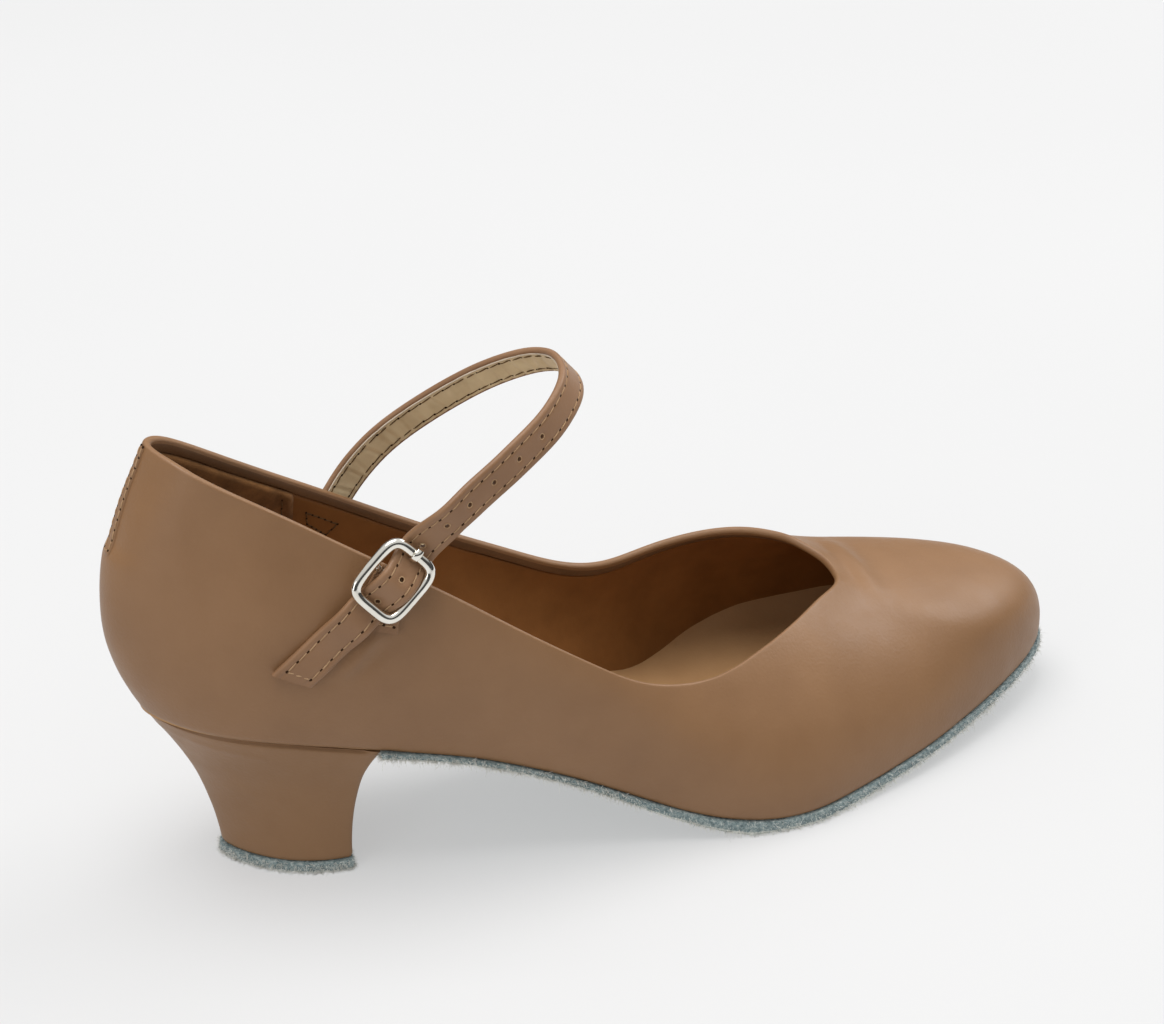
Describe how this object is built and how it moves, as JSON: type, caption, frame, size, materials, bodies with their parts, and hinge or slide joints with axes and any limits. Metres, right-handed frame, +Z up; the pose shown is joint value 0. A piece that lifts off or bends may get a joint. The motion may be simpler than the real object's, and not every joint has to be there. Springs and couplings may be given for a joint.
{
  "type": "character shoe",
  "caption": "Right-foot leather character dance shoe with covered block heel, suede sole and buckled instep strap.",
  "frame": {"origin": "middle of the shoe's footprint box on the floor that it stands on", "axes": "+X from heel to toe, +Y to the inner side of the foot, +Z up"},
  "size_m": [0.234, 0.0816, 0.1112],
  "materials": {
    "upper_leather": "smooth tan leather, semi-matte",
    "heel_leather": "smooth tan leather stretched over the heel block",
    "strap_leather": "tan leather, lined and stitched",
    "sole_suede": "blue-grey split suede with a frayed edge",
    "insole_sock": "beige sock leather, matte",
    "buckle_metal": "polished nickel"
  },
  "bodies": {
    "root": {"upper": "upper_leather", "outsole": "sole_suede", "insole": "insole_sock", "heel": "heel_leather", "heel_lift": "sole_suede", "strap": "strap_leather", "buckle_frame": "buckle_metal", "buckle_clip": "buckle_metal", "buckle_tab": "strap_leather"}
  },
  "joints": []
}
